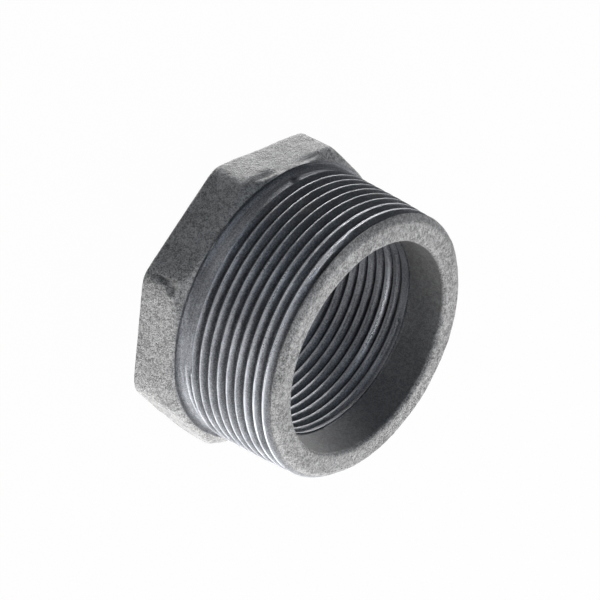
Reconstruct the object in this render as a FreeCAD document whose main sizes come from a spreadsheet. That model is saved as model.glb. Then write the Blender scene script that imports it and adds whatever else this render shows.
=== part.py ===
import FreeCAD, Part
import Sketcher
import os

# Reducing bushing for steel pipe, cast in black malleable iron and machined.
# It stands on its collar: the origin is the middle of the collar's end face, and +Z runs
# along the pipe axis to the male end. Two of the octagon's flats face +X and -X.
# Lengths are millimetres and angles are degrees.

NODE = "bushing"
SIDES = 8

SIZES = [
    ("totalLength", 35.0, "collar end face to male end face"),
    ("threadPitch", 2.309, "11 threads to 25.4 mm"),
    ("threadDepth", 1.479, "male crest to male root"),
    ("flankAngle", 55.0, "included angle of the thread groove"),
    ("rootFlat", 0.385, "width of the male root"),
    ("gaugeDiameter", 59.614, "male crest diameter on the gauge plane"),
    ("gaugeLength", 15.9, "male end face to the gauge plane"),
    ("taperLength", 32.0, "length in which the male radius falls by one"),
    ("grooveStartAngle", -82.5, "where the male groove begins, round from +X"),
    ("grooveStartRise", 2.58, "middle of the male groove above the collar, where it begins"),
    ("noseWidth", 1.91, "male end's chamfer, across the end face"),
    ("noseLength", 1.7, "male end's chamfer, along the axis"),
    ("bandLength", 3.0, "plain band between collar and male thread"),
    ("bandDrop", 0.65, "plain band below the male crests, on the radius"),
    ("collarHeight", 10.1, "collar end face to the foot of the plain band"),
    ("flatStandOut", 1.8, "octagon's flats beyond the plain band, on the radius"),
    ("cornerRound", 4.0, "rounding of the collar's upright corners"),
    ("crownLedge", 1.4, "flat ledge between the plain band and the crown's cone"),
    ("crownAngle", 35.0, "fall of the cone that trims the collar's corners"),
    ("wall", 7.3845, "male crests on the gauge plane to the female crests"),
    ("entryWidth", 2.0, "countersink at the collar end face, on the radius"),
    ("entryDepth", 2.0, "countersink at the collar end face, along the axis"),
    ("recessDepth", 9.0, "male end face to the foot of the cast recess"),
    ("recessStep", 0.33, "cast recess beyond the bore at its foot, on the radius"),
    ("recessDraft", 0.55, "widening of the cast recess towards its mouth, on the radius"),
    ("mouthEase", 0.5, "chamfer of the recess mouth"),
    ("toolReach", 0.2, "thread tool beyond the crests"),
]


# Sheet of sizes
def add_sheet(doc):
    sheet = doc.addObject("Spreadsheet::Sheet", "sizes")
    for row, (alias, value, meaning) in enumerate(SIZES, start=1):
        sheet.set("A%d" % row, str(value))
        sheet.setAlias("A%d" % row, alias)
        sheet.set("B%d" % row, meaning)
    doc.recompute()


# Radius of the male crests at a height, on their taper
def crest_at(height):
    below_gauge = "(sizes.totalLength - sizes.gaugeLength - %s)" % height
    return "(sizes.gaugeDiameter / 2 + %s / sizes.taperLength)" % below_gauge


# Heights and radii that several features share
FLANK_SLOPE = "tan(sizes.flankAngle / 2 * 1 deg)"
BAND_TOP = "(sizes.collarHeight + sizes.bandLength)"
BAND_RADIUS = "(%s - sizes.bandDrop)" % crest_at(BAND_TOP)
CORNER_RADIUS = "((%s + sizes.flatStandOut) / cos(180 / %d * 1 deg))" % (BAND_RADIUS, SIDES)
BORE_RADIUS = "(sizes.gaugeDiameter / 2 - sizes.wall)"
GROOVE_START = "(sizes.collarHeight + sizes.grooveStartRise)"
TURNS_TO_END = "(ceil((sizes.totalLength - %s) / sizes.threadPitch) + 1)" % GROOVE_START
TURNS = "(%s - sizes.grooveStartAngle / 360)" % TURNS_TO_END
GROOVE_TOP = "(%s + %s * sizes.threadPitch)" % (GROOVE_START, TURNS)
BLANK_TOP = "(%s + 2 * sizes.threadPitch)" % GROOVE_TOP


def origin_plane(body, role):
    for feature in body.Origin.OriginFeatures:
        if feature.Role == role:
            return feature
    raise ValueError("no plane " + role)


# Closed outline on the upright plane, its corners given as name, radius and height.
# Side 1 draws it towards +X and side -1 towards -X, away from where the thread tool starts.
def draw_outline(body, name, side, corners):
    sketch = body.newObject("Sketcher::SketchObject", name)
    sketch.AttachmentSupport = [(origin_plane(body, "XZ_Plane"), "")]
    sketch.MapMode = "FlatFace"
    count = len(corners)
    spots = [FreeCAD.Vector(side * (index + 1), index ** 2, 0) for index in range(count)]
    for index in range(count):
        following = (index + 1) % count
        sketch.addGeometry(Part.LineSegment(spots[index], spots[following]), False)
    for index in range(count):
        following = (index + 1) % count
        sketch.addConstraint(Sketcher.Constraint("Coincident", index, 2, following, 1))
    for index, (corner, radius, height) in enumerate(corners):
        set_distance(sketch, "DistanceX", index, corner + "Radius", "%d * (%s)" % (side, radius))
        set_distance(sketch, "DistanceY", index, corner + "Height", height)
    return sketch


def set_distance(sketch, kind, line, name, expression):
    start = sketch.Geometry[line].StartPoint
    now = start.x if kind == "DistanceX" else start.y
    number = sketch.addConstraint(Sketcher.Constraint(kind, -1, 1, line, 1, now))
    sketch.renameConstraint(number, name)
    sketch.setExpression("Constraints." + name, expression)


def spin(body, kind, name, sketch):
    feature = body.newObject(kind, name)
    feature.Profile = sketch
    feature.ReferenceAxis = (sketch, ["V_Axis"])
    feature.Angle = 360


# Octagonal collar with rounded corners
def add_octagon(doc, body):
    octagon = body.newObject("PartDesign::AdditivePrism", "octagon")
    octagon.AttachmentSupport = [(origin_plane(body, "XY_Plane"), "")]
    octagon.MapMode = "FlatFace"
    turn = FreeCAD.Rotation(FreeCAD.Vector(0, 0, 1), 180 / SIDES)
    octagon.AttachmentOffset = FreeCAD.Placement(FreeCAD.Vector(0, 0, 0), turn)
    octagon.Polygon = SIDES
    octagon.setExpression("Circumradius", CORNER_RADIUS)
    octagon.setExpression("Height", "sizes.collarHeight")
    doc.recompute()
    upright = []
    for number, edge in enumerate(octagon.Shape.Edges, start=1):
        if abs(edge.tangentAt(edge.FirstParameter).z) > 0.5:
            upright.append("Edge%d" % number)
    corners = body.newObject("PartDesign::Fillet", "corners")
    corners.Base = (octagon, upright)
    corners.setExpression("Radius", "sizes.cornerRound")


# Cone that trims the collar's corners on the male side
def add_crown(body):
    edge = "(%s + sizes.crownLedge)" % BAND_RADIUS
    outside = "(%s + sizes.collarHeight)" % CORNER_RADIUS
    fall = "(%s - %s) * tan(sizes.crownAngle * 1 deg)" % (outside, edge)
    sketch = draw_outline(body, "crownOutline", -1, [
        ("edge", edge, "sizes.collarHeight"),
        ("low", outside, "sizes.collarHeight - " + fall),
        ("high", outside, "sizes.collarHeight"),
    ])
    spin(body, "PartDesign::Groove", "crown", sketch)


# Conical blank of the barrel, longer than the finished bushing at the male end
def add_blank(body):
    sketch = draw_outline(body, "blankOutline", -1, [
        ("middleLow", "0", "0"),
        ("low", crest_at("0"), "0"),
        ("high", crest_at(BLANK_TOP), BLANK_TOP),
        ("middleHigh", "0", BLANK_TOP),
    ])
    spin(body, "PartDesign::Revolution", "blank", sketch)


# Male taper thread: one right-hand groove, wound down through the blank to the band
def add_male_thread(body):
    root = "%s - sizes.threadDepth" % crest_at(GROOVE_TOP)
    mouth = "%s + sizes.toolReach" % crest_at(GROOVE_TOP)
    half_root = "sizes.rootFlat / 2"
    half_mouth = "(%s + (sizes.threadDepth + sizes.toolReach) * %s)" % (half_root, FLANK_SLOPE)
    sketch = draw_outline(body, "grooveOutline", 1, [
        ("rootLow", root, "%s - %s" % (GROOVE_TOP, half_root)),
        ("mouthLow", mouth, "%s - %s" % (GROOVE_TOP, half_mouth)),
        ("mouthHigh", mouth, "%s + %s" % (GROOVE_TOP, half_mouth)),
        ("rootHigh", root, "%s + %s" % (GROOVE_TOP, half_root)),
    ])
    thread = body.newObject("PartDesign::SubtractiveHelix", "maleThread")
    thread.Profile = sketch
    thread.ReferenceAxis = (sketch, ["V_Axis"])
    thread.Mode = "pitch-turns-angle"
    thread.setExpression("Pitch", "sizes.threadPitch")
    thread.setExpression("Turns", TURNS)
    thread.setExpression("Angle", "atan(1 / sizes.taperLength)")
    thread.Reversed = True


# Male end, cut to length and chamfered from the first crest down to the end face
def add_nose(body):
    edge = "(%s - sizes.noseWidth)" % crest_at("sizes.totalLength")
    outside = "(%s + sizes.noseWidth)" % crest_at("sizes.totalLength")
    sketch = draw_outline(body, "noseOutline", -1, [
        ("middleLow", "0", "sizes.totalLength"),
        ("edge", edge, "sizes.totalLength"),
        ("low", outside, "sizes.totalLength - 2 * sizes.noseLength"),
        ("high", outside, BLANK_TOP + " + sizes.noseLength"),
        ("middleHigh", "0", BLANK_TOP + " + sizes.noseLength"),
    ])
    spin(body, "PartDesign::Groove", "nose", sketch)


# Plain band, turned below the crests and running up to them along a flank
def add_band(body):
    outside = "(%s + sizes.bandLength)" % crest_at("0")
    rise = "(%s - %s) * %s" % (outside, BAND_RADIUS, FLANK_SLOPE)
    sketch = draw_outline(body, "bandOutline", -1, [
        ("low", BAND_RADIUS, "sizes.collarHeight"),
        ("high", BAND_RADIUS, BAND_TOP),
        ("outsideHigh", outside, "%s + %s" % (BAND_TOP, rise)),
        ("outsideLow", outside, "sizes.collarHeight"),
    ])
    spin(body, "PartDesign::Groove", "band", sketch)


# Countersink, bore at the female crests and cast recess, open right through
def add_bore(body):
    recess_foot = "(%s + sizes.recessStep)" % BORE_RADIUS
    recess_mouth = "(%s + sizes.recessDraft)" % recess_foot
    foot = "(sizes.totalLength - sizes.recessDepth)"
    sketch = draw_outline(body, "boreOutline", -1, [
        ("middleLow", "0", "0"),
        ("entryLow", BORE_RADIUS + " + sizes.entryWidth", "0"),
        ("entryHigh", BORE_RADIUS, "sizes.entryDepth"),
        ("boreHigh", BORE_RADIUS, foot + " - sizes.recessStep"),
        ("recessLow", recess_foot, foot),
        ("recessHigh", recess_mouth, "sizes.totalLength - sizes.mouthEase"),
        ("mouth", recess_mouth + " + sizes.mouthEase", "sizes.totalLength"),
        ("middleHigh", "0", "sizes.totalLength"),
    ])
    spin(body, "PartDesign::Groove", "bore", sketch)


# Every feature is sound, and every groove takes metal away
def check(doc, body):
    for thing in doc.Objects:
        if "Invalid" in thing.State or "Error" in thing.State:
            raise RuntimeError(thing.Label + " failed")
    for feature in body.Group:
        if not feature.isDerivedFrom("PartDesign::Feature"):
            continue
        if feature.Shape.isNull() or not feature.Shape.isValid():
            raise RuntimeError(feature.Label + " has no valid shape")
        cuts = feature.TypeId in ("PartDesign::Groove", "PartDesign::SubtractiveHelix")
        if cuts and feature.BaseFeature.Shape.Volume - feature.Shape.Volume < 1:
            raise RuntimeError(feature.Label + " takes nothing away")
    if len(body.Shape.Solids) != 1:
        raise RuntimeError("the bushing is not one solid")


doc = FreeCAD.newDocument("bushing")
add_sheet(doc)
body = doc.addObject("PartDesign::Body", NODE)
body.Label = NODE
body.Placement = FreeCAD.Placement()
add_octagon(doc, body)
for add_feature in (add_crown, add_blank, add_male_thread, add_nose, add_band, add_bore):
    add_feature(body)
    doc.recompute()
check(doc, body)
os.makedirs("parts", exist_ok=True)
body.Shape.exportStep("parts/%s.step" % body.Label)
print("volume %.1f mm3" % body.Shape.Volume)
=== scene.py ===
import math

import bpy
import numpy as np
from mathutils import Matrix, Vector


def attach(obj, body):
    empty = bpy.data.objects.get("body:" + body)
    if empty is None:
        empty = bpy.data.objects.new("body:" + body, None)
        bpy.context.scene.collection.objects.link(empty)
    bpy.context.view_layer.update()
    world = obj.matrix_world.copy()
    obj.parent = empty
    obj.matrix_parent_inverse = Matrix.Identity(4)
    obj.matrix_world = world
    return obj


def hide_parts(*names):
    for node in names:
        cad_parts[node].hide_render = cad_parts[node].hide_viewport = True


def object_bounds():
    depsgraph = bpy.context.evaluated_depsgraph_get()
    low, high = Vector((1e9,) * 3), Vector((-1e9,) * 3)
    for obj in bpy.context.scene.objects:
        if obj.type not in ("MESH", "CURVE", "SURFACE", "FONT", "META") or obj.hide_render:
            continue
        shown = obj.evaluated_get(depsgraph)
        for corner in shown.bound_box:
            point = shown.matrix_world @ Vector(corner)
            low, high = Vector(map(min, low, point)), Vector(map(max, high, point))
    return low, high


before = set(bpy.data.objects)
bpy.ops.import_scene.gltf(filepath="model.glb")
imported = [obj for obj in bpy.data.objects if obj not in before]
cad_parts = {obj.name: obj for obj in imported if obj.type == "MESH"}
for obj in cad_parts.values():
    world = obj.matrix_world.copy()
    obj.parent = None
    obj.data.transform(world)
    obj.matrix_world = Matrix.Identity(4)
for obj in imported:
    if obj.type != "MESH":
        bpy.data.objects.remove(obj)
cadLow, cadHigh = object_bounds()
print("frame loaded:", sorted(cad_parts))

mm = 0.001


# The bushing's sizes, in millimetres and degrees

bushing = {
    "columns": 304,  # a multiple of 16 puts a column on each corner of the octagon
    "length": 35.0,
    # from the thread's axis to each flat of the collar, round from +X: it was cast a little off centre
    "flatDistances": (31.1, 31.0, 31.0, 31.5, 30.7, 30.7, 31.12, 31.85),
    "cornerSharpness": 1.6,  # lower rounds the octagon's upright corners more
    "footEase": 0.7,
    "crownEase": 0.9,
    "crownTop": 10.1,
    "crownInner": 30.74,
    "crownSlope": 35.0,
    "burr": 0.12,
    "bandRadius": 29.34,
    "bandTop": 13.1,
    "bandFillet": 1.0,
    "bandFlare": 0.35,  # how far the fillet at the band's foot reaches out
    "noseWidth": 1.91,
    "noseLength": 1.7,
    "noseRoundness": 1.5,  # 1 is a straight chamfer
    "noseOverlap": 0.4,  # the nose already trims the thread this far below itself
    "noseBend": 27.55,  # radius that the nose heads for before it rounds into the face
    "noseLumpsFade": 0.8,
    "noseCutBelow": 0.1,  # the thread's cut surface ends here, below the nose
    "noseCutFade": 0.5,
    "faceRadius": 27.2,
    "mouthRadius": 23.8,
    "mouthEase": 0.5,
    "recessMouth": 23.3,
    "recessFoot": 22.75,
    "recessDepth": 9.0,
    "entryRadius": 24.4,
    "entryWidth": 2.0,
    "entryDepth": 2.0,
    "boxSpare": 0.01,  # kept clear of the CAD solid's sides
    "mergeDistance": 0.004,
    "smoothAngle": 48,
}

maleThread = {
    "pitch": 2.309,
    "depth": 1.479,
    "flankAngle": 55.0,
    "rootFlat": 0.385,
    "rounding": 0.07,
    "gaugeRadius": 29.807,
    "gaugeHeight": 19.1,
    "taper": 1 / 32,
    "grooveAngle": -82.5,  # a point on the middle of the groove's first turn
    "grooveHeight": 12.85,
    "top": 34.65,
    "phases": (0, 0.065, 0.10, 0.25, 0.395, 0.435),  # rows from root to crest, in pitches; a crest is 0.5
}

femaleThread = {
    "pitch": 2.309,
    "depth": 1.25,
    "flankAngle": 55.0,
    "rootFlat": 0.10,
    "rounding": 0.40,
    "minorRadius": 22.42,
    "grooveAngle": 75.0,  # a point on the middle of the groove's last turn
    "grooveHeight": 25.54,
    "leadLength": 6.0,  # the tap's tapered lead leaves the last turns shallow
    "leadStart": 0.25,
    "leadGain": 1.4,
    "phases": (0, 0.05, 0.12, 0.22, 0.32, 0.41),
}

# Traces of the die and of handling on the male thread. Turns are degrees from the groove's start.
traces = {
    "runIn": (0.45, 1.1, 200),  # first groove: depth at its start, depth gained, turn
    "cutTurns": (180, 267),  # a part turn that one cutter left in the plain band
    "cutDepth": 0.14,
    "cutFade": 80,
    "cutHalfWidth": 0.55,
    "chipTurn": 267.5,  # the torn chip at its end, which leans
    "chipHeight": 13.3,
    "chipLean": 1.4,
    "chipHalfWidth": 1.5,
    "chipDepth": 0.8,
    "chipGap": (1.0, 0.3),  # below the first groove, and how softly it ends there
    "wornHeights": (26, 32),  # the crests are flattened more and more between these heights
    "flattened": 0.22,
    "rubbedCrest": 7.5,  # a crest rubbed wide over a stretch: pitches above the first groove
    "rubbedTurn": (294, 22),  # middle and half width
    "rubbedWidth": 1.2,
    "rubbedEdge": 0.25,
    "rubbedDepth": 0.34,
    "waves": ((1.9, 0.0, 2.3), (0.0, 1.7, -3.1), (0.6, -0.8, 0.0)),  # unevenness of all cut surfaces
    "waveHeight": 0.03,
}

# How light the cut surfaces are, 0 as in a root and 1 as on a crest, and where that changes: crest wear, and
# painted light, shade and sheen on some sides and crests
shades = {
    # painted light: the thread is painted lighter on one side, more so where its crests are worn
    "paintedLightAngle": -98,
    "paintedLightGain": 1.15,
    "paintedLightBase": 0.15,
    "paintedLightWorn": 0.3,
    # painted shade: the plain band is painted darker on one side; painted light: the ledge is painted
    # lighter on that side
    "bandBase": 0.92,
    "bandAngle": -60,
    "bandDrop": 0.3,
    "ledgeBase": 0.66,
    "ledgePaintedLight": 0.10,
    # painted shade: the thread is painted darker on one side, less so where its crests are worn
    "darkAngle": 176,
    "darkSharpness": 2.6,
    "darkShare": 0.62,
    "darkWorn": 0.30,
    # painted sheen on the crest rubbed wide next to the nose
    "rubbed": 1.35,
    "boreBase": 0.86,
    "boreRidge": (20.3, 60, 0.9),  # painted sheen along one crest in the bore: height at an angle, half width
    "boreRidgeAngle": (76, 42),  # middle and half width
    "boreRidgePaintedSheen": 0.85,
    "noseAngle": 172,  # the nose's skin is painted darker on this side, as painted shade
    "noseSharpness": 3,
    "noseShare": 0.6,
    # how dark the hollows are painted, as painted shade
    "dentShare": 0.8,
    "polishedAngles": (-134, 62),  # handling polished the thread on one side, and the bore across from it
    "polishedSharpness": 2.6,
    "polishedSplit": 25,  # radius between bore and thread
}

skin = {  # lumps of the sand-cast skin: wavelength and height
    "swell": (7.0, 0.13),
    "lump": (2.2, 0.08),
    "grain": (0.9, 0.05),
}

skinSeed = 37
skinBlock = (64, 64, 64)  # random heights that the lumps are eased between

lumpShares = {  # how far the lumps move each part, outward and upward
    "cut": (0, 0),
    "side": (1, 0),
    "crown": (0.6, 0.8),
    "ledge": (0.1, 0.2),
    "nose": (0.8, 0.4),
    "noseEdge": (0.6, 0.5),
    "face": (0, 0.6),
    "mouth": (-0.7, 0),
    "recess": (-0.6, 0),
}

dents = [  # hollows and chips: angle, height, half widths along both, depth
    (-166.0, 8.8, 6.5, 0.9, 0.75),
    (168.0, 9.0, 8.0, 0.7, 0.45),
    (-112.0, 7.6, 1.6, 1.0, 0.7),
    (-113.5, 4.6, 0.7, 2.2, 0.55),
    (-66.0, 7.8, 4.0, 0.9, 0.5),
    (-24.0, 8.1, 3.0, 0.8, 0.4),
    (20.0, 8.4, 4.5, 0.9, 0.5),
    (66.0, 8.0, 3.0, 0.8, 0.45),
    (112.0, 8.3, 4.0, 0.8, 0.5),
]

noseStart = bushing["length"] - bushing["noseLength"]
bandStart = bushing["crownTop"] + bushing["bandFillet"]
recessEnd = bushing["length"] - bushing["recessDepth"]


# Curves that several parts share

def bent(start, corner, end, share):
    # a point on the curve from start to end that heads for the corner
    return (1 - share) ** 2 * start + 2 * share * (1 - share) * corner + share ** 2 * end


def towards(angle, middle, gain=1, sharpness=1):
    # 1 on the side that faces the middle angle, 0 on the far side
    # gain widens the part that is 1, and sharpness narrows the whole
    return np.clip(np.cos(np.radians(angle - middle)) * gain * sharpness - (sharpness - 1), 0, 1)


def bell(values, middle, halfWidth):
    return np.exp(-((values - middle) / halfWidth) ** 2)


def collarRadius(angle):
    # a soft minimum over the flats, so that the octagon's corners come out rounded
    flats = bushing["flatDistances"]
    sharpness = bushing["cornerSharpness"]
    nearby = bushing["bandRadius"]
    total = 0
    for flat, distance in enumerate(flats):
        across = np.cos(np.radians(angle - 360 * flat / len(flats)))
        facing = across > 0.5  # flats more than 60 degrees away have no part in it
        radius = distance / np.where(facing, across, 1)
        total = total + np.exp(-sharpness * (radius - nearby)) * facing
    return nearby - np.log(total) / sharpness


# Threads

def threadHeight(shape, offset):
    # height above the groove's bottom, by the distance from its middle in pitches
    slope = math.tan(math.radians(shape["flankAngle"] / 2))
    rise = (offset * shape["pitch"] - shape["rootFlat"] / 2) / slope
    soft = shape["rounding"]
    low = (rise + np.sqrt(rise ** 2 + soft ** 2)) / 2
    spare = shape["depth"] - low
    return shape["depth"] - (spare + np.sqrt(spare ** 2 + soft ** 2)) / 2


def grooveOffset(shape, angle, height):
    # distance in pitches from the nearest turn of the groove's middle
    middle = shape["grooveHeight"] + shape["pitch"] * (angle - shape["grooveAngle"]) / 360
    turns = (height - middle) / shape["pitch"]
    return np.abs(turns - np.round(turns))


def helixRows(shape, low, high):
    # heights at angle zero of every row that meets the stretch somewhere in its turn
    pitch = shape["pitch"]
    atZero = shape["grooveHeight"] - pitch * shape["grooveAngle"] / 360
    steps = list(shape["phases"]) + [0.5] + [1 - phase for phase in reversed(shape["phases"][1:])]
    first = math.floor((low - atZero) / pitch) - 2
    last = math.ceil((high - atZero) / pitch) + 1
    rows = [atZero + pitch * (turn + step) for turn in range(first, last) for step in steps]
    return [row for row in rows if low - pitch < row < high]


def crestRadius(height):
    return maleThread["gaugeRadius"] + (maleThread["gaugeHeight"] - height) * maleThread["taper"]


def noseRadius(height):
    # cast rough and rounded
    along = np.clip((height - noseStart) / bushing["noseLength"], 0, 1)
    return crestRadius(noseStart) - bushing["noseWidth"] * along ** bushing["noseRoundness"]


def leaveBand(radius, height, travelled, firstGroove):
    # under the first groove the die's throat left the band plain, and that groove runs in slowly
    band, halfPitch = bushing["bandRadius"], maleThread["pitch"] / 2
    below = firstGroove - height
    startDepth, gain, turn = traces["runIn"]
    shallow = band - startDepth - gain * np.clip(travelled / turn, 0, 1)
    radius = np.where(np.abs(below) < halfPitch, np.maximum(radius, shallow), radius)
    radius = np.where(below > halfPitch, band, radius)
    return np.where(height < bushing["bandTop"], np.minimum(radius, band), radius)


def cutPartTurn(radius, height, travelled, firstGroove):
    # one cutter left a shallow part turn in the band, which ends in a torn chip
    start, end = traces["cutTurns"]
    lastGroove = firstGroove - maleThread["pitch"]
    cut = np.clip(1 - np.abs(height - lastGroove) / traces["cutHalfWidth"], 0, 1)
    cut = cut * (travelled > start) * (travelled < end)
    deep = traces["cutDepth"] * np.clip((travelled - start) / traces["cutFade"], 0, 1)
    radius = np.where(cut > 0, np.minimum(radius, bushing["bandRadius"] - deep * cut), radius)
    gap, softness = traces["chipGap"]
    chipMiddle = traces["chipTurn"] + (height - traces["chipHeight"]) * traces["chipLean"]
    chip = bell(travelled, chipMiddle, traces["chipHalfWidth"])
    chip = chip * np.clip((firstGroove - gap - height) / softness, 0, 1)
    return radius - traces["chipDepth"] * chip


def rubbedStretch(height, travelled, firstGroove):
    # where the crest next to the nose is filled out, and how wide it is rubbed there
    crestHeight = firstGroove + traces["rubbedCrest"] * maleThread["pitch"]
    width = traces["rubbedWidth"] * bell(travelled, *traces["rubbedTurn"])
    filled = np.clip((crestHeight + width - height) / traces["rubbedEdge"], 0, 1)
    return filled * (height > crestHeight), width


def maleShade(angle, share, worn, onBand):
    # painted light: the thread is painted lighter on one side, more so on worn crests
    paintedLight = towards(angle, shades["paintedLightAngle"], shades["paintedLightGain"])
    shade = share * (1 + shades["paintedLightWorn"] * worn * paintedLight) + shades["paintedLightBase"] * paintedLight
    # painted shade: the plain band is painted darker on one side
    matte = shades["bandBase"] - shades["bandDrop"] * towards(angle, shades["bandAngle"])
    shade = np.where(onBand, matte, shade)
    # painted shade: the thread is painted darker on another side, less so on worn crests
    dark = towards(angle, shades["darkAngle"], sharpness=shades["darkSharpness"])
    return shade * (1 - (shades["darkShare"] - shades["darkWorn"] * worn) * dark)


def maleSurface(angle, height):
    # radius of each point outside, and how light it is, with painted light, shade and sheen
    crest = crestRadius(height)
    raisedAndPaintedLight = threadHeight(maleThread, grooveOffset(maleThread, angle, height))
    travelled = (angle - maleThread["grooveAngle"]) % 360
    firstGroove = maleThread["grooveHeight"] + maleThread["pitch"] * travelled / 360
    low, high = traces["wornHeights"]
    worn = np.clip((height - low) / (high - low), 0, 1)
    filled, width = rubbedStretch(height, travelled, firstGroove)
    radius = crest - maleThread["depth"] + raisedAndPaintedLight
    radius = leaveBand(radius, height, travelled, firstGroove)
    radius = cutPartTurn(radius, height, travelled, firstGroove)
    radius = np.minimum(radius, crest - traces["flattened"] * worn)
    radius = radius + (np.maximum(radius, crest - traces["rubbedDepth"]) - radius) * filled
    nearNose = height > noseStart - bushing["noseOverlap"]
    radius = np.where(nearNose, np.minimum(radius, noseRadius(height)), radius)
    onBand = firstGroove - height > maleThread["pitch"] / 2
    shade = maleShade(angle, raisedAndPaintedLight / maleThread["depth"], worn, onBand)
    # the crest rubbed wide next to the nose gets a painted sheen
    return radius, np.maximum(shade, shades["rubbed"] * filled * np.minimum(width, 1))


def femaleSurface(angle, height):
    # radius of each point in the bore, and how light it is, with a painted sheen along one crest
    pitch, depth = femaleThread["pitch"], femaleThread["depth"]
    groove = depth - threadHeight(femaleThread, grooveOffset(femaleThread, angle, height))
    left = (recessEnd - height) / femaleThread["leadLength"]
    limit = np.clip(femaleThread["leadStart"] + femaleThread["leadGain"] * left, 0, depth)
    travelled = (femaleThread["grooveAngle"] - angle) % 360
    lastGroove = femaleThread["grooveHeight"] - pitch * travelled / 360
    groove = np.where(height - lastGroove > pitch / 2, 0, np.minimum(groove, limit))
    # painted sheen: one crest is painted lighter
    ridgeHeight, ridgeAngle, ridgeWidth = shades["boreRidge"]
    ridge = bell(height, ridgeHeight + pitch * (angle - ridgeAngle) / 360, ridgeWidth)
    ridge = ridge * bell(angle, *shades["boreRidgeAngle"])
    paintedBoreSheen = shades["boreBase"] + shades["boreRidgePaintedSheen"] * ridge
    return femaleThread["minorRadius"] + groove, (1 - groove / depth) * paintedBoreSheen


# Rows of the turned section. Each says where a ring of points lies, how far the cast skin's lumps
# move it outward and upward, and what the iron is like there, painted light and shade included.

defaults = {"outward": 0, "upward": 0, "machined": 0, "raisedAndPaintedLight": 0.5, "paintedShade": 0}


def lumps(part, share=1, before="cut"):
    # the part's lumps, which the share fades in from those of the part before it
    (startOut, startUp), (endOut, endUp) = lumpShares[before], lumpShares[part]
    return {"outward": startOut + (endOut - startOut) * share, "upward": startUp + (endUp - startUp) * share}


def bottomRow(ring, share):
    start, end = bushing["entryRadius"], ring["octagon"] - bushing["footEase"]
    return {"radius": start + (end - start) * share, "height": 0}


def footEdgeRow(ring, share):
    octagon, ease = ring["octagon"], bushing["footEase"]
    return {"radius": bent(octagon - ease, octagon, octagon, share), "height": bent(0, 0, ease, share),
            **lumps("side", share)}


def sideRow(ring, share):
    low, high = bushing["footEase"], ring["crown"] - bushing["crownEase"]
    return {"radius": ring["octagon"], "height": low + (high - low) * share, **lumps("side")}


def crownEdgeRow(ring, share):
    top, low = bushing["crownTop"], ring["crown"] - bushing["crownEase"]
    radius = bent(ring["octagon"], ring["octagon"], ring["crownRadius"], share)
    height = bent(low, ring["crown"], ring["crownHeight"], share)
    radius = np.where(height > top, np.maximum(radius, bushing["crownInner"]), radius)
    return {"radius": radius, "height": np.minimum(height, top), **lumps("crown", share, "side")}


def crownRow(ring, share):
    inner, top = bushing["crownInner"], bushing["crownTop"]
    startRadius, startHeight = ring["crownRadius"], np.minimum(ring["crownHeight"], top)
    return {"radius": startRadius + (inner - startRadius) * share,
            "height": startHeight + (top - startHeight) * share, **lumps("crown")}


def ledgeRow(ring, share):
    band, top = bushing["bandRadius"], bushing["crownTop"]
    burr = bushing["burr"] * (share == 0)
    # painted light: the ledge is painted lighter on one side
    light = shades["ledgeBase"] + shades["ledgePaintedLight"] * towards(ring["angle"], shades["bandAngle"])
    return {"radius": bent(bushing["crownInner"], band + bushing["bandFlare"], band, share),
            "height": bent(top, top, bandStart, share) + burr,
            **lumps("ledge"), "machined": 1, "raisedAndPaintedLight": light}


def noseShade(ring):
    # painted shade: the nose's skin is painted darker on one side
    facing = towards(ring["angle"], shades["noseAngle"], sharpness=shades["noseSharpness"])
    return shades["noseShare"] * facing


def maleRow(ring, height):
    radius, light = maleSurface(ring["angle"], height)
    onNose = np.clip((height - noseStart) / bushing["noseLumpsFade"], 0, 1)
    pastCut = height - noseStart + bushing["noseCutBelow"]
    machined = 1 - np.clip(pastCut / bushing["noseCutFade"], 0, 1)
    return {"radius": radius, "height": height, **lumps("nose", onNose),
            "machined": machined, "raisedAndPaintedLight": light, "paintedShade": noseShade(ring) * (1 - machined)}


def noseEdgeRow(ring, share):
    top, end = maleThread["top"], bushing["length"]
    start = maleSurface(ring["angle"], np.full_like(ring["angle"], top))[0]
    return {"radius": bent(start, bushing["noseBend"], bushing["faceRadius"], share),
            "height": bent(top, end, end, share),
            **lumps("noseEdge"), "paintedShade": noseShade(ring) * (1 - share)}


def faceRow(ring, share):
    start, end = bushing["faceRadius"], bushing["mouthRadius"]
    return {"radius": start + (end - start) * share, "height": bushing["length"], **lumps("face")}


def mouthRow(ring, share):
    start, end = bushing["mouthRadius"], bushing["recessMouth"]
    return {"radius": start + (end - start) * share,
            "height": bushing["length"] - bushing["mouthEase"] * share, **lumps("mouth")}


def recessRow(ring, share):
    start, end = bushing["recessMouth"], bushing["recessFoot"]
    top = bushing["length"] - bushing["mouthEase"]
    # painted shade: the recess below its mouth is painted darker
    return {"radius": start + (end - start) * share, "height": top + (recessEnd - top) * share,
            **lumps("recess"), "paintedShade": share > 0}


def femaleRow(ring, height):
    radius, light = femaleSurface(ring["angle"], height)
    return {"radius": radius, "height": height, "machined": 1, "raisedAndPaintedLight": light}


def entryRow(ring, share):
    foot = np.full_like(ring["angle"], bushing["entryDepth"])
    radius, light = femaleSurface(ring["angle"], foot)
    cone = femaleThread["minorRadius"] + bushing["entryWidth"] * share
    radius = radius * (1 - share) + bushing["entryRadius"] * share
    return {"radius": np.maximum(radius, cone), "height": bushing["entryDepth"] * (1 - share),
            "machined": 1, "raisedAndPaintedLight": light}


# What shapes the rows of each stretch, and how many it has
collarStretches = [(bottomRow, 9), (footEdgeRow, 3), (sideRow, 12), (crownEdgeRow, 4), (crownRow, 7),
                   (ledgeRow, 5)]
endStretches = [(noseEdgeRow, 3), (faceRow, 7), (mouthRow, 2), (recessRow, 15)]
entryStretches = [(entryRow, 4)]


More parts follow.
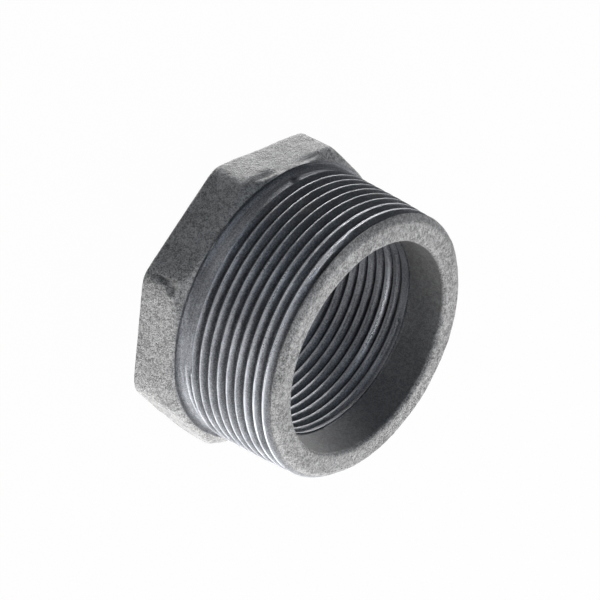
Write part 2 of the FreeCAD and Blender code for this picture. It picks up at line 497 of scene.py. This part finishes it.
def spread(stretches, ring):
    return [[makeRow(ring, row / count) for row in range(count)] for makeRow, count in stretches]


def threadRows(makeRow, ring, shape, starts, low, high):
    # rows that climb with the thread, held within the stretch
    heights = [np.clip(start + shape["pitch"] * ring["turn"], low, high) for start in starts]
    return [makeRow(ring, height) for height in heights]


def makeRing():
    # what every row needs to know of the turn, with the seam's column at both ends
    turn = np.arange(bushing["columns"] + 1) / bushing["columns"]
    angle = turn % 1 * 360
    octagon = collarRadius(angle)
    slope = math.radians(bushing["crownSlope"])
    crown = bushing["crownTop"] - (octagon - bushing["crownInner"]) * math.tan(slope)
    return {
        "turn": turn, "angle": angle, "octagon": octagon, "crown": crown,
        "crownRadius": octagon - bushing["crownEase"] * math.cos(slope),
        "crownHeight": crown + bushing["crownEase"] * math.sin(slope),
    }


def makeSection(ring):
    # the rows of every stretch, round the section from the end face and back to it
    low, top = bushing["entryDepth"], maleThread["top"]
    maleStarts = helixRows(maleThread, bandStart, top)
    femaleStarts = helixRows(femaleThread, low, recessEnd)[::-1]
    bandRow = maleRow(ring, np.full_like(ring["angle"], bandStart))
    recessFoot = {"radius": bushing["recessFoot"], "height": recessEnd, "machined": 1}
    male = threadRows(maleRow, ring, maleThread, maleStarts, bandStart, top)
    female = threadRows(femaleRow, ring, femaleThread, femaleStarts, low, recessEnd)
    return (spread(collarStretches, ring) + [[bandRow] + male]
            + spread(endStretches, ring) + [[recessFoot] + female] + spread(entryStretches, ring))


# Mesh: the section is drawn and spun, then every point goes to its own place

def drawSection(corners, counts):
    # one vertex, drawn on in equal steps from where each stretch starts to where the next one does
    bpy.ops.object.select_all(action="DESELECT")
    bpy.ops.mesh.primitive_circle_add(vertices=3, radius=mm, location=(0, 0, 0))
    piece = bpy.context.object
    piece.name = "bushing_iron"
    bpy.ops.object.mode_set(mode="EDIT")
    bpy.ops.mesh.merge(type="CENTER")
    bpy.ops.transform.translate(value=(corners[0][0] * mm, 0, corners[0][1] * mm))
    for (outward, upward), count in zip(np.roll(corners, -1, axis=0) - corners, counts):
        step = (outward * mm / count, 0, upward * mm / count)
        for row in range(count):
            bpy.ops.mesh.extrude_vertices_move(TRANSFORM_OT_translate={"value": step})
    # the outline ends on its first corner, where the two vertices become one
    bpy.ops.mesh.select_all(action="SELECT")
    bpy.ops.mesh.remove_doubles(threshold=bushing["mergeDistance"] / 2 * mm)
    bpy.ops.object.mode_set(mode="OBJECT")
    return piece


def spinSection():
    bpy.ops.object.mode_set(mode="EDIT")
    bpy.ops.mesh.select_all(action="SELECT")
    bpy.ops.mesh.spin(
        steps=bushing["columns"], angle=math.tau, use_auto_merge=False,
        center=(0, 0, 0), axis=(0, 0, 1),
    )
    bpy.ops.object.mode_set(mode="OBJECT")


def lumpy(places, wave, block):
    # smooth noise: random heights on a grid one wave apart, eased from corner to corner
    cell = np.floor(places / wave).astype(int)
    share = places / wave - cell
    share = share * share * (3 - 2 * share)
    total = 0
    for corner in np.ndindex(2, 2, 2):
        weight = np.prod(np.where(corner, share, 1 - share), axis=-1)
        index = (cell + corner) % len(block)
        total = total + weight * block[index[..., 0], index[..., 1], index[..., 2]]
    return total


def relief(places):
    # lumps of the cast skin at each point
    block = np.random.default_rng(skinSeed).uniform(-1, 1, skinBlock)
    return sum(height * lumpy(places, wave, block) for wave, height in skin.values())


def addDents(bumps, grid, angle):
    # on the outside only; the skin is painted darker in a hollow, as painted shade
    outside = grid["outward"] > 0
    for dentAngle, dentHeight, halfAngle, halfHeight, depth in dents:
        apart = (angle - dentAngle + 180) % 360 - 180
        dent = bell(apart, 0, halfAngle) * bell(grid["height"], dentHeight, halfHeight) * outside
        bumps = bumps - depth * dent
        grid["paintedShade"] = np.maximum(grid["paintedShade"], dent * shades["dentShare"])
    return bumps


def roughen(grid, angle):
    # moves the points as the cast skin's lumps, its dents and the tools' unevenness have them
    turned = np.radians(angle)
    x, y = grid["radius"] * np.cos(turned), grid["radius"] * np.sin(turned)
    cast = (np.abs(grid["outward"]) + np.abs(grid["upward"])) > 0
    bumps = np.zeros_like(x)
    bumps[cast] = relief(np.stack([x[cast], y[cast], grid["height"][cast]], axis=-1))
    bumps = addDents(bumps, grid, angle)
    radius = grid["radius"] + grid["outward"] * bumps
    height = grid["height"] + grid["upward"] * bumps
    waves = [np.sin(a * x + b * y + c * height) for a, b, c in traces["waves"]]
    radius = radius + traces["waveHeight"] * np.prod(waves, axis=0) * grid["machined"]
    return radius, height


def placeVertices(mesh, grid, angle):
    radius, height = roughen(grid, angle)
    turned = np.radians(angle)
    reach = float(cadHigh.x) / mm - bushing["boxSpare"]
    x = np.clip(radius * np.cos(turned), -reach, reach)
    y = np.clip(radius * np.sin(turned), -reach, reach)
    z = np.clip(height, 0, float(cadHigh.z) / mm)
    points = np.stack([x, y, z], axis=-1).transpose(1, 0, 2) * mm
    mesh.vertices.foreach_set("co", points.astype(np.float32).ravel())
    outside, inside = shades["polishedAngles"]
    middle = np.where(radius > shades["polishedSplit"], outside, inside)
    polished = towards(angle, middle, sharpness=shades["polishedSharpness"])
    grid["polished"] = polished * grid["machined"]
    for name in ("machined", "raisedAndPaintedLight", "paintedShade", "polished"):
        layer = mesh.attributes.new(name, "FLOAT", "POINT")
        layer.data.foreach_set("value", grid[name].T.astype(np.float32).ravel())
    mesh.update()


def closePiece():
    bpy.ops.object.mode_set(mode="EDIT")
    bpy.ops.mesh.select_all(action="SELECT")
    bpy.ops.mesh.remove_doubles(threshold=bushing["mergeDistance"] * mm)
    bpy.ops.mesh.normals_make_consistent(inside=False)
    bpy.ops.object.mode_set(mode="OBJECT")
    bpy.ops.object.shade_smooth_by_angle(angle=math.radians(bushing["smoothAngle"]))


def makeBushing():
    ring = makeRing()
    stretches = makeSection(ring)
    rows = [{**defaults, **row} for stretch in stretches for row in stretch]
    flat = np.zeros_like(ring["angle"])
    names = list(defaults) + ["radius", "height"]
    grid = {name: np.array([flat + row[name] for row in rows]) for name in names}
    counts = [len(stretch) for stretch in stretches]
    starts = np.cumsum([0] + counts[:-1])
    corners = np.stack([grid["radius"][starts, 0], grid["height"][starts, 0]], axis=-1)
    piece = drawSection(corners, counts)
    print("section drawn:", len(piece.data.vertices), "points for", len(rows), "rows")
    spinSection()
    placeVertices(piece.data, grid, ring["angle"])
    closePiece()
    return piece


# Node trees

class Socket:  # one output of a node, on which sums write Math nodes
    def __init__(self, sheet, output):
        self.sheet = sheet
        self.output = output

    def math(self, operation, first, second):
        return self.sheet.add("ShaderNodeMath", {"operation": operation}, {0: first, 1: second}, "Value")

    def larger(self, other):
        return self.math("MAXIMUM", self, other)

    def __add__(self, other):
        return self.math("ADD", self, other)

    def __radd__(self, other):
        return self.math("ADD", other, self)

    def __sub__(self, other):
        return self.math("SUBTRACT", self, other)

    def __rsub__(self, other):
        return self.math("SUBTRACT", other, self)

    def __mul__(self, other):
        return self.math("MULTIPLY", self, other)

    def __rmul__(self, other):
        return self.math("MULTIPLY", other, self)


class Sheet:  # a node tree that is filled by name
    def __init__(self, tree):
        self.tree = tree
        tree.nodes.clear()

    def add(self, kind, settings, sockets, output):
        node = self.tree.nodes.new(kind)
        for name, value in settings.items():
            setattr(node, name, value)
        for name, value in sockets.items():
            if isinstance(value, Socket):
                self.tree.links.new(value.output, node.inputs[name])
            else:
                node.inputs[name].default_value = value
        return Socket(self, node.outputs[output])

    def attribute(self, name):
        return self.add("ShaderNodeAttribute", {"attribute_name": name}, {}, "Fac")

    def ray(self, kind):
        return self.add("ShaderNodeLightPath", {}, {}, kind)

    def mixColour(self, factor, first, second):
        return self.add("ShaderNodeMix", {"data_type": "RGBA"}, {0: factor, 6: first, 7: second}, 2)

    def ramp(self, factor, limits):
        # smooth step from 0 at the first limit to 1 at the second
        return self.add("ShaderNodeMapRange", {"interpolation_type": "SMOOTHSTEP"},
                        {"Value": factor, "From Min": limits[0], "From Max": limits[1]}, "Result")

    def clouds(self, place, scale, detail, roughness):
        return self.add("ShaderNodeTexNoise", {},
                        {"Vector": place, "Scale": scale, "Detail": detail, "Roughness": roughness}, 0)

    def show(self, kind, shader):
        out = self.tree.nodes.new(kind)
        self.tree.links.new(shader.output, out.inputs["Surface"])


def weigh(textures, weights):
    total = textures[0] * weights[0]
    for texture, weight in zip(textures[1:], weights[1:]):
        total = total + texture * weight
    return total


# Material of the bushing: linear colours, noise scales with detail and roughness, and shares

iron = {
    "skinDark": (0.085, 0.084, 0.085, 1),
    "skinLight": (0.460, 0.457, 0.456, 1),
    "metalDark": (0.066, 0.069, 0.076, 1),
    "metalLight": (0.350, 0.361, 0.386, 1),
    # colour of the painted shade in the recess, the hollows and on one side of the nose
    "paintedShadeSkin": (0.075, 0.076, 0.078, 1),
    "rust": (0.180, 0.120, 0.085, 1),
    "lump": (1100, 2.0, 0.5),
    "grain": (2900, 2.0, 0.6),
    "fine": (6200, 1.0, 0.6),
    "patches": (160, 3.0, 0.55),
    "tool": (700, 4.0, 0.65),
    "wear": (150, 2.0, 0.55),
    "toolStretch": (0.30, 0.30, 4.0),  # long round the axis and fine along it, as a cutter leaves them
    "speckle": (0.22, 0.42, 0.28, 0.10),  # of lump, grain, fine and patches
    "speckleLimits": (0.38, 0.655),
    "paintedShadeShare": 0.76,
    "flecks": (0.55, 0.45),
    "fleckLimits": (0.36, 0.66),
    "wearShare": 0.9,
    "wearBase": 0.10,
    "toolShare": 0.80,
    "fleckShare": 0.50,
    "wornLimits": (0.45, 1.80),
    "rustLimits": (0.60, 0.75),
    "rustShare": 0.18,
    "skinRoughness": 0.70,
    "metalRoughness": 0.58,
    "grainRoughness": 0.3,
    "toolRoughness": 0.5,
    "rubbedLimits": (1.2, 1.5),
    "rubbedShine": 0.12,
    "polishedShine": 0.21,
    "metallic": 0.55,
    "polishedMetallic": 0.42,
    "specular": 0.3,
    "bump": 0.00065,
    "skinBumps": (0.36, 0.40, 0.24),  # of lump, grain and fine
    "paintedShadeBumps": 0.5,
    "metalBumps": (0.20, 0.15, 0.09),  # of tool, grain and fine
}


def ironColour(sheet, machined, raisedAndPaintedLight, paintedShade, textures):
    lump, grain, fine, patches, tool, wear = textures
    speckle = sheet.ramp(weigh((lump, grain, fine, patches), iron["speckle"]), iron["speckleLimits"])
    skinColour = sheet.mixColour(speckle, iron["skinDark"], iron["skinLight"])
    # painted shade darkens the skin in the recess, the hollows and on one side of the nose
    skinColour = sheet.mixColour(paintedShade * iron["paintedShadeShare"], skinColour, iron["paintedShadeSkin"])
    flecks = sheet.ramp(weigh((grain, fine), iron["flecks"]), iron["fleckLimits"])
    # the metal is lighter on crests, from wear and from the painted light, shade and sheen that the
    # attribute carries
    crestWearAndPaintedLight = raisedAndPaintedLight * raisedAndPaintedLight * (wear * iron["wearShare"] + iron["wearBase"])
    worn = sheet.ramp(crestWearAndPaintedLight + tool * iron["toolShare"] + flecks * iron["fleckShare"], iron["wornLimits"])
    metalColour = sheet.mixColour(worn, iron["metalDark"], iron["metalLight"])
    rusty = sheet.ramp(patches, iron["rustLimits"]) * iron["rustShare"]
    metalColour = sheet.mixColour(rusty * (1 - worn), metalColour, iron["rust"])
    return sheet.mixColour(machined, skinColour, metalColour)


def ironRoughness(sheet, machined, raisedAndPaintedLight, polished, grain, tool):
    base = machined * (iron["metalRoughness"] - iron["skinRoughness"]) + iron["skinRoughness"]
    uneven = (grain - 0.5) * iron["grainRoughness"] + (tool - 0.5) * machined * iron["toolRoughness"]
    rubbed = sheet.ramp(raisedAndPaintedLight, iron["rubbedLimits"]) * machined * iron["rubbedShine"]
    return base + uneven - rubbed - polished * raisedAndPaintedLight * iron["polishedShine"]


def makeIron():
    material = bpy.data.materials.new("black_iron")
    material.use_nodes = True
    sheet = Sheet(material.node_tree)
    place = sheet.add("ShaderNodeTexCoord", {}, {}, "Object")
    names = ("machined", "raisedAndPaintedLight", "paintedShade", "polished")
    machined, raisedAndPaintedLight, paintedShade, polished = [sheet.attribute(name) for name in names]
    stretched = sheet.add("ShaderNodeMapping", {}, {"Vector": place, "Scale": iron["toolStretch"]}, "Vector")
    names = ("lump", "grain", "fine", "patches", "wear")
    lump, grain, fine, patches, wear = [sheet.clouds(place, *iron[name]) for name in names]
    tool = sheet.clouds(stretched, *iron["tool"])
    colour = ironColour(sheet, machined, raisedAndPaintedLight, paintedShade, (lump, grain, fine, patches, tool, wear))
    roughness = ironRoughness(sheet, machined, raisedAndPaintedLight, polished, grain, tool)
    skinHeight = weigh((lump, grain, fine), iron["skinBumps"]) * (1 - paintedShade * iron["paintedShadeBumps"])
    metalHeight = weigh((tool, grain, fine), iron["metalBumps"])
    height = skinHeight * (1 - machined) + metalHeight * machined
    bumps = {"Strength": 1.0, "Distance": iron["bump"], "Height": height}
    shader = sheet.add("ShaderNodeBsdfPrincipled", {}, {
        "Base Color": colour,
        "Roughness": roughness,
        "Metallic": machined * iron["metallic"] + polished * iron["polishedMetallic"],
        "Specular IOR Level": iron["specular"],
        "Normal": sheet.add("ShaderNodeBump", {}, bumps, "Normal"),
    }, "BSDF")
    sheet.show("ShaderNodeOutputMaterial", shader)
    return material


# Stage, in metres and degrees

studio = {
    "floorSize": 6.0,
    "floorColour": (0.30, 0.30, 0.30, 1),
    "white": (1, 1, 1, 1),
    "whiteShare": 0.98,
    "ambient": 0.035,
    "ceiling": 0.12,
    "backdropRise": (0.08, 0.25),  # sines of the elevations between which it fades into the ceiling
    "lampDistance": 0.70,
}

lamps = [  # name, azimuth, elevation, width, power, colour
    ("backLamp", 124, -44, 0.40, 9.8, (1.0, 0.995, 0.99)),
    ("frontLow", 323, -7, 0.56, 8.6, (1.0, 1.0, 0.995)),
    ("endLow", 0, -12, 0.34, 3.0, (1.0, 1.0, 1.0)),
    ("endHigh", 15, 12, 0.30, 1.2, (1.0, 1.0, 1.0)),
    ("overhead", 58, 44, 0.50, 5.6, (1.0, 0.995, 0.985)),
    ("frontHigh", 318, 54, 0.40, 2.6, (1.0, 1.0, 1.0)),
    ("window", 203, 50, 0.16, 1.1, (0.78, 0.88, 1.0)),
]

camera = {  # target and distance in millimetres
    "target": (-2.517, 0.230, 15.507),
    "azimuth": -125.613,
    "elevation": 32.692,
    "distance": 597.59,
    "roll": 117.951,
    "lens": 176.16,
    "sensor": 36.0,
    "clipStart": 0.01,
    "clipEnd": 20,
}


def direction(azimuth, elevation):
    turned, raisedBy = math.radians(azimuth), math.radians(elevation)
    level = math.cos(raisedBy)
    return Vector((math.cos(turned) * level, math.sin(turned) * level, math.sin(raisedBy)))


def makeFloor():
    bpy.ops.object.select_all(action="DESELECT")
    bpy.ops.mesh.primitive_plane_add(size=studio["floorSize"], location=(0, 0, 0))
    floor = bpy.context.object
    floor.name = "studio_floor"
    material = bpy.data.materials.new("pale_floor")
    material.use_nodes = True
    sheet = Sheet(material.node_tree)
    # rays from the camera, reflections and transmission see it white
    seen = sheet.ray("Is Camera Ray").larger(sheet.ray("Is Glossy Ray"))
    seen = seen.larger(sheet.ray("Is Transmission Ray"))
    matte = sheet.add("ShaderNodeBsdfDiffuse", {}, {"Color": studio["floorColour"]}, 0)
    glow = sheet.add("ShaderNodeEmission", {}, {"Color": studio["white"], "Strength": 1.0}, 0)
    mixed = sheet.add("ShaderNodeMixShader", {}, {0: seen * studio["whiteShare"], 1: matte, 2: glow}, 0)
    sheet.show("ShaderNodeOutputMaterial", mixed)
    floor.data.materials.append(material)
    floor.visible_shadow = False  # a light table: lamps under it reach the collar's sides


def makeWorld():
    world = bpy.data.worlds.new("studio")
    bpy.context.scene.world = world
    world.use_nodes = True
    sheet = Sheet(world.node_tree)
    up = sheet.add("ShaderNodeTexCoord", {}, {}, "Generated")
    rise = sheet.add("ShaderNodeSeparateXYZ", {}, {"Vector": up}, "Z")
    backdrop = 1 - sheet.ramp(rise, studio["backdropRise"]) * (1 - studio["ceiling"])
    reflected = sheet.ray("Is Glossy Ray").larger(sheet.ray("Is Transmission Ray"))
    shown = sheet.ray("Is Camera Ray").larger(reflected * backdrop)
    level = shown * (1 - studio["ambient"]) + studio["ambient"]
    glow = sheet.add("ShaderNodeBackground", {}, {"Color": studio["white"], "Strength": level}, 0)
    sheet.show("ShaderNodeOutputWorld", glow)
    world.cycles.sampling_method = "NONE"  # so that reflections see the backdrop and the rest the ambient


def makeLamps():
    middle = Vector((0, 0, bushing["length"] / 2 * mm))
    for name, azimuth, elevation, width, power, colour in lamps:
        data = bpy.data.lights.new(name, "AREA")
        data.shape = "DISK"
        data.size = width
        data.energy = power
        data.color = colour
        data.cycles.use_multiple_importance_sampling = elevation > 0
        lamp = bpy.data.objects.new(name, data)
        bpy.context.scene.collection.objects.link(lamp)
        away = direction(azimuth, elevation)
        lamp.location = middle + away * studio["lampDistance"]
        lamp.rotation_euler = away.to_track_quat("Z", "Y").to_euler()


def makeCamera():
    data = bpy.data.cameras.new("camera")
    data.lens = camera["lens"]
    data.sensor_width = camera["sensor"]
    data.clip_start = camera["clipStart"]
    data.clip_end = camera["clipEnd"]
    eye = bpy.data.objects.new("camera", data)
    bpy.context.scene.collection.objects.link(eye)
    away = direction(camera["azimuth"], camera["elevation"])
    place = Vector(camera["target"]) * mm + away * camera["distance"] * mm
    level = away.to_track_quat("Z", "Y").to_matrix().to_4x4()
    roll = Matrix.Rotation(math.radians(camera["roll"]), 4, "Z")
    eye.matrix_world = Matrix.Translation(place) @ level @ roll
    bpy.context.scene.camera = eye


piece = makeBushing()
piece.data.materials.clear()
piece.data.materials.append(makeIron())
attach(piece, "root")
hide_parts("bushing")
print("bushing made:", len(piece.data.polygons), "faces")

makeFloor()
makeWorld()
makeLamps()
makeCamera()
bpy.context.scene.view_settings.view_transform = "Standard"
print("stage made")
